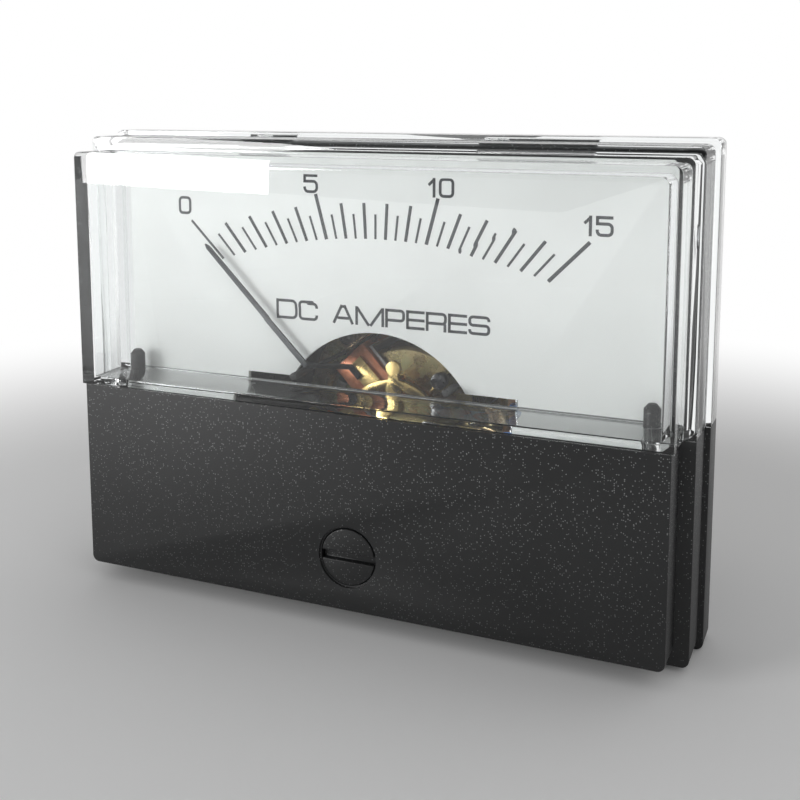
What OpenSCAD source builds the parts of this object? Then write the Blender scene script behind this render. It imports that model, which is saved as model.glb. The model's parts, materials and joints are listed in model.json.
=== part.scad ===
// Rectangular moving-coil panel meter with a clear stepped window over a black lower mask.
// Millimetres. The origin is the centre of the flange's rear face, which seats on the panel:
// +X is right seen from the front, +Y runs rearwards through the panel, +Z is up.
// The pointer is stored at its zero mark. Clock angles run clockwise from +Z, seen from the front.

/* [Case] */
// Width over the rear flange
case_w = 101; // [98:0.5:104]
// Height over the rear flange
case_h = 74.5; // [73:0.5:77]
// Depth of the case in front of the panel
case_d = 20; // [19.5:0.1:21]
// How far the front tier stands in from the flange on each side
front_inset = 3; // [2.8:0.1:3.4]
// How far the middle tier stands in from the flange on each side
mid_inset = 0.8; // [0.5:0.1:1.2]
// Depth of the front tier
front_tier = 6.6; // [6:0.1:7]
// Depth of the middle tier
mid_tier = 7.8; // [7:0.1:8.5]
// Corner radius of each tier
corner_r = 1.1; // [0.8:0.1:1.6]
// Thickness of the side walls
wall = 1.6; // [1.4:0.1:1.8]
// Height of the black mask on the front tier
mask_h = 30.6; // [30:0.1:31]
// How far the clear window stands proud of the mask
window_proud = 0.4; // [0.2:0.05:0.5]

/* [Base] */
// Radius of the barrel that goes through the panel
barrel_r = 33; // [32.5:0.1:33.5]
// Length of the barrel behind the panel
barrel_l = 34; // [32:1:38]
// Distance from one fixing stud to the next, across
stud_dx = 80; // [78:1:82]
// Distance from one fixing stud to the next, upwards
stud_dz = 48; // [46:1:50]
// Radius of a fixing stud's thread
stud_r = 1.5; // [1.5:0.1:1.8]
// Distance from the middle to each terminal
terminal_x = 14; // [13:0.5:15]
// Radius of a terminal stud's free end
terminal_r = 2.5; // [2.4:0.1:2.6]

/* [Dial and pointer] */
// Depth of the dial's face behind the front
dial_depth = 11.5; // [11.3:0.1:11.7]
// Height of the pointer's axis over the lower edge of the front tier
axis_h = 23.4; // [23.2:0.1:23.6]
// Radius of the round opening in the dial
cutout_r = 17.4; // [17.2:0.1:17.6]
// Distance from the axis to the pointer's tip
pointer_l = 42.2; // [40:0.2:42.4]
// Clock angle of the pointer at zero
zero_angle = -45; // [-46:1:-44]

/* [Movement] */
// Radius of the magnet core
core_r = 12.6; // [12.4:0.1:12.7]
// Inner radius of the yoke ring
yoke_inner_r = 15.7; // [15.6:0.1:15.8]
// Outer radius of the yoke ring
yoke_outer_r = 19.8; // [19.7:0.1:19.9]
// Clock angle of the coil's plane at zero
coil_angle = -43; // [-45:1:-41]
// Width of the coil former
coil_w = 8; // [7.6:0.1:8.2]
// Throw of the zero adjuster's pin
zero_throw = 1.2; // [1:0.1:1.3]
// Radius of the zero adjuster's head
zero_head_r = 4.4; // [4.2:0.1:4.6]

/* [Hidden] */
$fn = 48;

eps = 0.01;                                   // overlap that fuses faces of one piece
face_y = -case_d;                             // front of the mask
mid_y = face_y + front_tier;                  // front of the middle tier
rear_y = mid_y + mid_tier;                    // front of the rear tier
split_z = -case_h / 2 + front_inset + mask_h; // joint between window and mask
window_y = face_y - 0.35;                     // front of the window
window_t = 1.8;                               // thickness of the window's front
floor_t = 1.25;                               // thickness of the window's floor
floor_end_y = -9.2;                           // rear edge of the window's floor
mask_t = 2;                                   // thickness of the mask's front
mask_inner_y = face_y + mask_t;
flange_t = 2.8;                               // thickness of the base's flange
flange_gap = 0.3;                             // clearance between the flange and the covers
post_x = 43.2;                                // locating posts of the mask
post_y = -10.8;
post_r = 1.2;
post_top = 3.6;                               // height of the posts over the joint
post_foot = 6;                                // length of the posts under it
post_rib = 5.2;                               // length of the rib that carries each post
tab_ends = [[15.5, 33], [-25, -16.5]];        // both ends of each snap tab of the flange
tab_h = 1.2;                                  // how far a tab stands out of the flange
tab_y0 = -2.4;                                // front and rear of the tabs
tab_y1 = -0.8;
tab_gap = 0.1;

barrel_wall = 2;
barrel_floor = 2.5;

axis_z = -case_h / 2 + front_inset + axis_h;  // the pointer's axis
zero_z = axis_z - 15;                         // the zero adjuster's axis
dial_y = face_y + dial_depth;                 // front of the dial
dial_t = 0.8;
dial_w = 90.8;
dial_top = 34.2;
dial_bottom = -22;
dial_slot_x = 23;                             // half width of the dial's lower opening
dial_slot_top = -1.6;
dial_screw_x = 38;
dial_screw_z = -14;

yoke_y0 = 6.6;                                // front and rear of the yoke ring
yoke_y1 = 23.1;
yoke_screw_ring = 17.75;                      // radius of the circle of the yoke's screws
yoke_screw_angle = 43.5;
plate_t = 2;                                  // movement plate
ear_x = 23;                                   // movement screws
pillar_x = 17.75;
pillar_r = 1.9;

bridge_y0 = -1;                               // front and rear of the front bridge
bridge_y1 = -0.2;
boss_y = bridge_y0 - 1.3;                     // front of the bridge's boss
boss_r = 2.5;
jewel_r = 1.5;
jewel_bore_r = 0.45;
shaft_r = 0.4;
lock_nut_t = 0.8;

core_y0 = 4.1;                                // front and rear of the magnet core
core_y1 = 16.3;
coil_gap = 0.5;                               // between the core and the former
former_t = 0.4;
winding_t = 1.1;
coil_u = core_r + coil_gap;                   // half width of the coil's opening
coil_y0 = core_y0 - coil_gap;                 // front and rear of the coil's opening
coil_y1 = core_y1 + coil_gap;
coil_front_y = coil_y0 - former_t - winding_t;
coil_rear_y = coil_y1 + former_t + winding_t;
spacer_angle = coil_angle + 135;              // middle of the sector that the coil never enters
spacer_span = 30;

hub_y0 = 1.1;                                 // pointer hub and balance arms
hub_y1 = 1.7;
hub_r = 3;
arm_angles = [zero_angle + 85, zero_angle - 95, zero_angle + 180];
arm_radii = [10.8, 10.8, 12.2];               // distance from the axis to each balance weight
weight_radii = [1.35, 1.471, 2.52];
weight_y0 = 0.1;                              // front and rear of the balance weights
weight_y1 = 1.9;
carrier_w = 3;                                // arm of the hub that carries the pointer
carrier_x = 1;                                // how far it stands to one side
carrier_l = 13;

blade_y = -10.2;                              // pointer blade in front of the dial
pointer_t = 0.4;
leg_w = 0.9;                                  // leg that takes the pointer back to its carrier
leg_r0 = 12.8;                                // radius at its rear end and its front end
leg_r1 = 16.5;
foot_r = 10.4;

spring_pitch = 1.2;
spring_t = 0.25;
spring_w = 0.7;
spring_r0 = 2.2;
front_spring_y = bridge_y1 + 0.3;
rear_spring_y = coil_rear_y + 1.2;
front_turns = 5;
rear_turns = 4;
stop_angle = 52;                              // clock angle of each pointer stop
stop_ring = 16.3;
stop_y0 = -12;                                // front and rear of its sleeve
stop_y1 = -8;

lever_t = 0.6;                                // zero lever
lever_y0 = bridge_y0 - 1.1;
lever_hub_r = 3.9;
lever_ring_r = 8.4;
lever_rim = 1.5;
lever_w = 2.8;
lever_tail_r = 10.2;
fork_y0 = -16.1;                              // front of the fork at its lower end
fork_drop = 18;                               // from the axis down to the fork's end
fork_h = 4.6;
zero_pin_r = 0.6;
zero_pin_y = -15.1;
fork_gap = 0.15;

board_y = -4.4;                               // front of the tag board
board_x = 20.2;                               // its left edge and its lower edge
board_z = -14.5;
board_w = 14.6;
board_h = 14;
board_screw_x = 32.6;
board_screw_z = -6;
resistor_x = 22.2;
resistor_y = -6.1;
resistor_r = 1.4;
resistor_top = -3;
resistor_l = 9;
lead_r = 0.3;
lead_l = 1.2;                                 // length of each lead beside the resistor
lead_bend = 0.8;                              // where it turns to the board
stud_end_y = 14;
stud_shank_r = stud_r + 0.3;                  // moulded-in part of a fixing stud
stud_head_r = 2.8;
stud_head_t = 1.2;
stud_chamfer = 0.4;
terminal_end_y = 52;
terminal_shank_r = terminal_r + 0.5;          // part of a terminal stud that the nut clamps
terminal_head_r = 5.5;
terminal_head_t = 2.5;
terminal_chamfer = 0.6;
terminal_head_y = barrel_l - barrel_floor - terminal_head_t;
nut_r = 5.5;                                  // over the corners
nut_t = 3.6;
washer_r = 6;
washer_t = 0.8;
shunt_t = 0.8;

// ---- shared shapes ----

// rounded rectangle about the origin
module rounded(w, h, r) {
    square([w - 2 * r, h], center = true);
    square([w, h - 2 * r], center = true);
    for (x = [-1, 1], z = [-1, 1])
        translate([x * (w / 2 - r), z * (h / 2 - r)]) circle(r);
}

// an outline in X and Z, thick from y0 to y1
module thick(y0, y1)
    translate([0, y1, 0]) rotate([90, 0, 0]) linear_extrude(y1 - y0) children();

// a round rod along Y
module rod(r, y0, y1)
    translate([0, y1, 0]) rotate([90, 0, 0]) cylinder(r = r, h = y1 - y0);

// a tube along Y
module tube(r0, r1, y0, y1)
    difference() {
        rod(r1, y0, y1);
        rod(r0, y0 - 1, y1 + 1);
    }

// a sector of a ring about Y, between two clock angles
module sector(r0, r1, y0, y1, a0, a1)
    rotate([90, 0, 0]) rotate([0, 0, 90 - a1]) rotate_extrude(angle = a1 - a0)
        translate([r0, -y1]) square([r1 - r0, y1 - y0]);

// at a clock angle about the pointer's axis
module on_axis(angle = 0)
    translate([0, 0, axis_z]) rotate([0, angle, 0]) children();

// a slotted round head along Y, its face at y0
module slotted_head(r, y0, y1, slot_w, slot_d)
    difference() {
        rod(r, y0, y1);
        translate([-r - 1, y0 - 1, -slot_w / 2]) cube([2 * r + 2, slot_d + 1, slot_w]);
    }

// flat spiral of half circles about two centres, its outer end straight up
module spiral(turns, y0)
    rotate([0, -90, 0]) for (i = [0 : 2 * turns - 1]) {
        r = spring_r0 + i * spring_pitch / 2;
        upper = i % 2 == 0;
        translate([upper ? 0 : spring_pitch / 2, 0, 0])
            sector(r - spring_t / 2, r + spring_t / 2, y0, y0 + spring_w,
                   upper ? -90 : 90, upper ? 90 : 270);
    }

// radius at which a spiral ends, straight above the axis
function spiral_end(turns) = spring_r0 + turns * spring_pitch;

// ---- case ----

// one tier of the case, inset on every side and reaching back from y0
module tier(inset, y0, y1)
    thick(y0, y1) rounded(case_w - 2 * inset, case_h - 2 * inset, corner_r);

module stepped_outside(proud, y0) {
    tier(0, rear_y, 0);
    tier(mid_inset, mid_y, 0);
    thick(y0, 0) rounded(case_w - 2 * front_inset + 2 * proud, case_h - 2 * front_inset, corner_r);
}

module stepped_inside(y0) {
    tier(wall, -flange_t, 1);
    tier(mid_inset + wall, mid_y + wall, 1);
    tier(front_inset + wall, y0, 1);
}

module above(z, y0, y1)
    translate([-case_w, y0, z]) cube([2 * case_w, y1 - y0, case_h]);

module locating_posts(r)
    for (x = [-1, 1]) translate([x * post_x, post_y, split_z - post_foot]) {
        cylinder(r = r, h = post_foot + post_top);
        translate([0, 0, post_foot + post_top]) cylinder(r1 = r, r2 = r * 0.5, h = r * 0.6);
    }

// snap tabs on the flange's upper and lower edges, larger by a gap for their pockets
module snap_tabs(gap)
    for (ends = tab_ends, side = [-1, 1]) {
        root = case_h / 2 - wall - flange_gap - 0.4;
        translate([ends[0] - gap, tab_y0 - gap, side > 0 ? root : -root - tab_h - 0.4 - gap])
            cube([ends[1] - ends[0] + 2 * gap, tab_y1 - tab_y0 + 2 * gap, tab_h + 0.4 + gap]);
    }

module window_cover() color([0.9, 0.92, 0.93, 0.35])
    difference() {
        intersection() {
            stepped_outside(window_proud, window_y);
            above(split_z, window_y - 1, 1);
        }
        intersection() {
            stepped_inside(window_y + window_t);
            union() {
                above(split_z - 1, floor_end_y, 2);
                above(split_z + floor_t, window_y, floor_end_y + 1);
            }
        }
        locating_posts(post_r + 0.1);
        snap_tabs(tab_gap);
    }

module lower_mask() color([0.1, 0.1, 0.1]) {
    difference() {
        stepped_outside(0, face_y);
        stepped_inside(mask_inner_y);
        above(split_z, face_y - 1, 1);
        translate([0, 0, zero_z]) {
            rod(zero_head_r + 0.1, face_y - 1, mask_inner_y + 1);
            rod(zero_head_r + 0.4, face_y - 1, face_y + 0.35);
        }
        snap_tabs(tab_gap);
    }
    locating_posts(post_r);
    for (x = [-1, 1]) translate([x * (post_x + post_rib / 2) - post_rib / 2, post_y - 0.6, split_z - 5.5])
        cube([post_rib, 1.2, 5]);
}

module base_housing() color([0.12, 0.12, 0.12])
    difference() {
        union() {
            tier(wall + flange_gap, -flange_t, 0);
            snap_tabs(0);
            rod(barrel_r, -flange_t, barrel_l);
            for (x = [-1, 1]) translate([x * dial_screw_x, 0, dial_screw_z])
                rod(3, dial_y + dial_t, -flange_t + eps);
        }
        difference() {
            rod(barrel_r - barrel_wall, -flange_t - 1, barrel_l - barrel_floor);
            for (x = [-1, 1]) translate([x * ear_x, 0, axis_z])
                rod(3.2, yoke_y1 + plate_t, barrel_l);
        }
        for (x = [-1, 1]) {
            translate([x * ear_x, 0, axis_z]) rod(1.05, 0, yoke_y1 + plate_t + 6);
            translate([x * dial_screw_x, 0, dial_screw_z]) rod(0.9, dial_y, -flange_t);
        }
        terminal_places() rod(terminal_shank_r, barrel_l - barrel_floor - 1, barrel_l + 1);
        stud_places() rod(stud_shank_r, -flange_t - 1, 1);
    }

// ---- dial ----

module dial_plate() color([0.93, 0.93, 0.91])
    thick(dial_y, dial_y + dial_t) difference() {
        translate([0, (dial_top + dial_bottom) / 2])
            rounded(dial_w, dial_top - dial_bottom, 0.8);
        translate([0, axis_z]) circle(cutout_r);
        translate([-dial_slot_x, dial_bottom - 1])
            square([2 * dial_slot_x, dial_slot_top - dial_bottom + 1]);
        for (x = [-1, 1]) translate([x * dial_screw_x, dial_screw_z]) circle(1);
    }

module dial_screws() color([0.7, 0.7, 0.68])
    for (x = [-1, 1]) translate([x * dial_screw_x, 0, dial_screw_z]) {
        slotted_head(1.9, dial_y - 1.1, dial_y, 0.5, 0.5);
        rod(0.88, dial_y - eps, dial_y + dial_t + 3.5);
    }

// ---- fixed part of the movement ----

module yoke_ring() color([0.62, 0.56, 0.3])
    difference() {
        on_axis() tube(yoke_inner_r, yoke_outer_r, yoke_y0, yoke_y1);
        yoke_screw_places() rod(1.05, yoke_y0 - 1, yoke_y1 + 1);
    }

module yoke_screw_places()
    for (a = [yoke_screw_angle, 180 - yoke_screw_angle])
        for (s = [-1, 1]) on_axis(s * a) translate([0, 0, yoke_screw_ring]) children();

module yoke_screws() color([0.1, 0.1, 0.12])
    yoke_screw_places() {
        translate([0, yoke_y0, 0]) rotate([90, 0, 0]) rotate_extrude()
            polygon([[0, 0], [1.35, 0], [1.35, 0.7], [1.15, 1.25], [0.7, 1.55], [0, 1.65]]);
        rod(1, yoke_y0 - eps, yoke_y1 + plate_t);
    }

module core_magnet() color([0.45, 0.45, 0.47])
    on_axis() rotate([90, 0, 0]) translate([0, 0, -core_y1]) rotate_extrude()
        polygon([
            [0, 0], [core_r - 0.5, 0], [core_r, 0.5],
            [core_r, core_y1 - core_y0 - 0.5], [core_r - 0.5, core_y1 - core_y0],
            [0, core_y1 - core_y0]
        ]);

module core_spacers() color([0.7, 0.7, 0.72])
    for (a = [spacer_angle, spacer_angle + 180])
        on_axis() sector(core_r + 0.02, yoke_inner_r - 0.02, core_y0 + 3.9, core_y1 - 1.8,
                         a - spacer_span / 2, a + spacer_span / 2);

module movement_plate() color([0.6, 0.58, 0.45])
    difference() {
        thick(yoke_y1, yoke_y1 + plate_t) translate([0, axis_z]) {
            circle(yoke_outer_r);
            square([2 * ear_x, 7], center = true);
            for (x = [-1, 1]) translate([x * ear_x, 0]) circle(3.5);
        }
        on_axis() rod(jewel_r, yoke_y1 - 1, yoke_y1 + plate_t + 1);
        for (x = [-1, 1]) translate([x * ear_x, 0, axis_z])
            rod(1.3, yoke_y1 - 1, yoke_y1 + plate_t + 1);
        yoke_screw_places() rod(1, yoke_y1 - 1, yoke_y1 + plate_t + 1);
    }

module movement_screws() color([0.7, 0.7, 0.68])
    for (x = [-1, 1]) translate([x * ear_x, 0, axis_z]) {
        slotted_head(2.3, yoke_y1 - 1.6, yoke_y1, 0.6, 0.8);
        rod(1, yoke_y1 - eps, yoke_y1 + plate_t + 5.5);
    }

module bridge_pillars() color([0.75, 0.65, 0.35])
    for (x = [-1, 1]) translate([x * pillar_x, 0, axis_z])
        difference() {
            rod(pillar_r, bridge_y1, yoke_y0);
            rod(0.9, bridge_y1 - 1, bridge_y1 + 5);
        }

module front_bridge() color([0.82, 0.68, 0.3])
    on_axis() difference() {
        union() {
            thick(bridge_y0, bridge_y1) {
                square([2 * pillar_x, 5], center = true);
                circle(4.4);
                for (x = [-1, 1]) translate([x * pillar_x, 0]) circle(2.5);
            }
            rod(boss_r, boss_y, bridge_y0 + eps);
        }
        rod(jewel_r, boss_y - 1, bridge_y1 + 1);
        for (x = [-1, 1]) translate([x * pillar_x, 0, 0]) rod(1, bridge_y0 - 1, bridge_y1 + 1);
    }

module bridge_screws() color([0.7, 0.7, 0.68])
    for (x = [-1, 1]) translate([x * pillar_x, 0, axis_z]) {
        slotted_head(2, bridge_y0 - 1.3, bridge_y0, 0.5, 0.6);
        rod(0.88, bridge_y0 - eps, bridge_y1 + 4);
    }

// a threaded jewel holder: its cup takes the pivot, its other end has a driver slot
module jewel_screw(cup_y, slot_y) {
    y0 = min(cup_y, slot_y);
    y1 = max(cup_y, slot_y);
    inwards = cup_y > slot_y ? -1 : 1;
    on_axis() difference() {
        rod(jewel_r, y0, y1);
        rod(jewel_bore_r, min(cup_y, cup_y + inwards * 0.7) - (inwards > 0 ? 1 : 0),
            max(cup_y, cup_y + inwards * 0.7) + (inwards > 0 ? 0 : 1));
        translate([-2, slot_y - 0.5, -0.2]) cube([4, 1, 0.4]);
    }
}

module front_jewel_screw() color([0.8, 0.68, 0.35]) jewel_screw(bridge_y1 - 0.1, bridge_y0 - 2.5);

module rear_jewel_screw() color([0.8, 0.68, 0.35])
    jewel_screw(coil_rear_y + 2.8, yoke_y1 + plate_t + 2.2);

module jewel_lock_nuts() color([0.78, 0.66, 0.34])
    for (y = [boss_y - lock_nut_t, yoke_y1 + plate_t]) on_axis() difference() {
        translate([0, y + lock_nut_t, 0]) rotate([90, 0, 0]) cylinder(r = 3, h = lock_nut_t, $fn = 6);
        rod(jewel_r, y - 1, y + lock_nut_t + 1);
    }

module rear_hairspring() color([0.72, 0.5, 0.25]) on_axis() spiral(rear_turns, rear_spring_y);

module rear_spring_tag() color([0.8, 0.68, 0.35])
    on_axis() translate([0, 0, spiral_end(rear_turns)]) {
        translate([-0.8, rear_spring_y, spring_t / 2]) cube([1.6, yoke_y1 - rear_spring_y, 0.4]);
        translate([-0.8, yoke_y1 - 0.4, spring_t / 2]) cube([1.6, 0.4, 3]);
    }

module pointer_stops() color([0.15, 0.15, 0.15])
    for (s = [-1, 1]) on_axis(s * stop_angle) translate([0, 0, stop_ring]) {
        rod(0.35, stop_y1 - eps, yoke_y0);
        rod(0.6, stop_y0, stop_y1);
    }

// ---- circuit ----

module tag_board() color([0.5, 0.32, 0.15])
    difference() {
        translate([board_x, board_y, board_z]) cube([board_w, -flange_t - board_y, board_h]);
        translate([board_screw_x, 0, board_screw_z]) rod(1.1, board_y - 1, 0);
        for (z = [resistor_top + lead_bend, resistor_top - resistor_l - lead_bend])
            translate([resistor_x, 0, z]) rod(lead_r, board_y - 1, 0);
    }

module tag_board_screw() color([0.7, 0.7, 0.68])
    translate([board_screw_x, 0, board_screw_z]) {
        slotted_head(2, board_y - 1.2, board_y, 0.5, 0.6);
        rod(1.05, board_y - eps, -flange_t);
    }

module calibration_resistor() color([0.1, 0.35, 0.7])
    translate([resistor_x, resistor_y, resistor_top - resistor_l]) rotate_extrude()
        polygon([
            [0, 0], [1, 0], [resistor_r, 0.4], [resistor_r, 1.8], [1.15, 2.4],
            [1.15, resistor_l - 2.4], [resistor_r, resistor_l - 1.8], [resistor_r, resistor_l - 0.4],
            [1, resistor_l], [0, resistor_l]
        ]);

module resistor_leads() color([0.75, 0.75, 0.75])
    for (end = [[resistor_top, 1], [resistor_top - resistor_l, -1]])
        translate([resistor_x, 0, end[0]]) {
            translate([0, resistor_y, end[1] > 0 ? 0 : -lead_l]) cylinder(r = lead_r, h = lead_l);
            translate([0, 0, end[1] * lead_bend]) rod(lead_r - 0.05, resistor_y, -flange_t - 0.4);
        }

module shunt_bar() color([0.72, 0.45, 0.28])
    thick(terminal_head_y - shunt_t, terminal_head_y)
        rounded(2 * terminal_x + 9, 8, 1);

module terminal_places()
    for (x = [-1, 1]) translate([x * terminal_x, 0, 0]) children();

module stud_places()
    for (x = [-1, 1], z = [-1, 1])
        translate([x * stud_dx / 2, 0, z * stud_dz / 2]) children();

// a stud along Y with a head at its front, a shank up to y1 and a thinner thread up to y2
module stepped_stud(head_r, head_t, shank_r, thread_r, chamfer, y0, y1, y2) {
    rod(head_r, y0, y0 + head_t);
    rod(shank_r, y0 + head_t - eps, y1);
    rod(thread_r, y1 - eps, y2 - chamfer);
    translate([0, y2, 0]) rotate([90, 0, 0])
        cylinder(r1 = thread_r - chamfer, r2 = thread_r, h = chamfer);
}

module terminal_studs() color([0.8, 0.66, 0.35])
    terminal_places()
        stepped_stud(terminal_head_r, terminal_head_t, terminal_shank_r, terminal_r, terminal_chamfer,
                     terminal_head_y, barrel_l + washer_t + nut_t, terminal_end_y);

module terminal_washers() color([0.75, 0.74, 0.7])
    terminal_places() tube(terminal_shank_r + 0.1, washer_r, barrel_l, barrel_l + washer_t);

module terminal_nuts() color([0.8, 0.66, 0.35])
    translate([0, barrel_l + washer_t, 0]) terminal_places() difference() {
        translate([0, nut_t, 0]) rotate([90, 0, 0]) cylinder(r = nut_r, h = nut_t, $fn = 6);
        rod(terminal_shank_r, -1, nut_t + 1);
    }

module fixing_studs() color([0.75, 0.74, 0.7])
    stud_places()
        stepped_stud(stud_head_r, stud_head_t, stud_shank_r, stud_r, stud_chamfer,
                     -flange_t - stud_head_t, 0, stud_end_y);

// ---- moving coil and pointer ----

module coil_ring(thickness, w, inner)
    on_axis(coil_angle) difference() {
        translate([-w / 2, coil_y0 - inner - thickness, -coil_u - inner - thickness])
            cube([w, coil_y1 - coil_y0 + 2 * (inner + thickness), 2 * (coil_u + inner + thickness)]);
        translate([-w, coil_y0 - inner, -coil_u - inner])
            cube([2 * w, coil_y1 - coil_y0 + 2 * inner, 2 * (coil_u + inner)]);
    }

module coil_former() color([0.75, 0.75, 0.77]) coil_ring(former_t, coil_w, 0);

module coil_winding() color([0.72, 0.38, 0.2]) coil_ring(winding_t, coil_w - 1, former_t);

module pivot_shafts() color([0.6, 0.6, 0.62])
    on_axis() {
        rod(shaft_r, bridge_y1 - 0.65, coil_front_y);
        rod(1.1, bridge_y1 + 0.15, hub_y0);
        rod(1.8, hub_y1, coil_front_y);
        rod(shaft_r, coil_rear_y, coil_rear_y + 3.35);
        rod(1.1, coil_rear_y + 1.1, coil_rear_y + 2.1);
        rod(1.8, coil_rear_y, coil_rear_y + 0.5);
    }

module balance_cross() color([0.8, 0.68, 0.35]) {
    on_axis() tube(shaft_r, hub_r, hub_y0, hub_y1);
    on_axis(zero_angle) thick(hub_y0, hub_y1) translate([carrier_x - carrier_w / 2, 1.4])
        square([carrier_w, carrier_l - 1.4]);
    for (i = [0 : len(arm_angles) - 1]) on_axis(arm_angles[i])
        translate([0, (hub_y0 + hub_y1) / 2, hub_r - 0.3])
            cylinder(r = 0.22, h = arm_radii[i] - weight_radii[i] - hub_r + 0.3);
}

module balance_weights() color([0.2, 0.2, 0.2])
    for (i = [0 : len(arm_angles) - 1]) on_axis(arm_angles[i])
        translate([0, 0, arm_radii[i]]) rod(weight_radii[i], weight_y0, weight_y1);

module pointer() color([0.15, 0.15, 0.16])
    on_axis(zero_angle) {
        thick(blade_y, blade_y + pointer_t) polygon([
            [-leg_w / 2, leg_r1 + 0.3], [-0.32, pointer_l - 0.8], [0, pointer_l],
            [0.32, pointer_l - 0.8], [leg_w / 2, leg_r1 + 0.3]
        ]);
        // side view of the foot on the carrier, the slanted leg and the start of the blade
        run = hub_y0 - pointer_t / 2 - blade_y;
        rise = (leg_r1 - leg_r0) / run;
        translate([-leg_w / 2, 0, 0]) rotate([90, 0, 90]) linear_extrude(leg_w) polygon([
            [hub_y0, foot_r], [hub_y0 - pointer_t, foot_r],
            [hub_y0 - pointer_t, leg_r0 - pointer_t / 2 + rise * pointer_t / 2],
            [blade_y, leg_r1 - pointer_t / 2], [blade_y, leg_r1 + 0.7],
            [blade_y + pointer_t, leg_r1 + 0.7],
            [blade_y + pointer_t, leg_r1 + pointer_t / 2 - rise * pointer_t],
            [hub_y0, leg_r0 + pointer_t / 2 - rise * pointer_t / 2]
        ]);
    }

// ---- zero adjuster ----

module zero_lever() color([0.78, 0.66, 0.3])
    on_axis() difference() {
        union() {
            thick(lever_y0, lever_y0 + lever_t) {
                circle(lever_hub_r);
                difference() {
                    circle(lever_ring_r);
                    circle(lever_ring_r - lever_rim);
                }
                translate([-lever_w / 2, -fork_drop + fork_h - lever_t])
                    square([lever_w, fork_drop - fork_h + lever_t + lever_ring_r - 0.5]);
                translate([0, lever_tail_r]) circle(1.3);
                translate([-0.9, lever_ring_r - 1]) square([1.8, lever_tail_r - lever_ring_r + 1]);
            }
            // tab that holds the outer end of the front hairspring
            translate([-0.8, lever_y0, spiral_end(front_turns) + spring_t / 2])
                cube([1.6, front_spring_y + spring_w - lever_y0, 0.5]);
            // tongue that runs forward to the fork
            translate([-lever_w / 2, fork_y0, -fork_drop + fork_h - lever_t])
                cube([lever_w, lever_y0 + lever_t - fork_y0, lever_t]);
            thick(fork_y0, fork_y0 + lever_t)
                translate([-1.9, -fork_drop]) square([3.8, fork_h]);
        }
        rod(boss_r + 0.06, lever_y0 - 1, lever_y0 + lever_t + 1);
        translate([-zero_pin_r - fork_gap, fork_y0 - 1, -fork_drop - 1])
            cube([2 * (zero_pin_r + fork_gap), lever_t + 2, 4]);
    }

module front_hairspring() color([0.72, 0.5, 0.25]) on_axis() spiral(front_turns, front_spring_y);

module zero_adjust_screw() color([0.13, 0.13, 0.13])
    translate([0, 0, zero_z]) {
        slotted_head(zero_head_r, face_y + 0.15, mask_inner_y + 0.1 + eps, 1.3, 0.9);
        rod(zero_head_r + 1, mask_inner_y + 0.1, mask_inner_y + 0.9);
        translate([0, 0, -zero_throw]) rod(zero_pin_r, mask_inner_y + 0.9 - eps, zero_pin_y);
    }

window_cover();
lower_mask();
base_housing();
dial_plate();
dial_screws();
yoke_ring();
yoke_screws();
core_magnet();
core_spacers();
movement_plate();
movement_screws();
bridge_pillars();
front_bridge();
bridge_screws();
front_jewel_screw();
rear_jewel_screw();
jewel_lock_nuts();
rear_hairspring();
rear_spring_tag();
pointer_stops();
tag_board();
tag_board_screw();
calibration_resistor();
resistor_leads();
shunt_bar();
terminal_studs();
terminal_nuts();
terminal_washers();
fixing_studs();
coil_former();
coil_winding();
pivot_shafts();
balance_cross();
balance_weights();
pointer();
zero_lever();
front_hairspring();
zero_adjust_screw();
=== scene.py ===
"""Looks of a rectangular moving-coil panel meter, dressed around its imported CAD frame.

Everything is in metres in the frame of the part: the origin is the middle of the flange's rear face, +X is right
seen from the front, +Y runs rearwards through the panel and +Z is up. Clock angles run clockwise from +Z, seen from
the front, so a clock angle is also a turn about +Y.
"""

from __future__ import annotations

import json
import logging
import math
from dataclasses import dataclass
from enum import Enum
from typing import Iterable, Sequence

import bmesh
import bpy
from mathutils import Matrix, Vector

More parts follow.
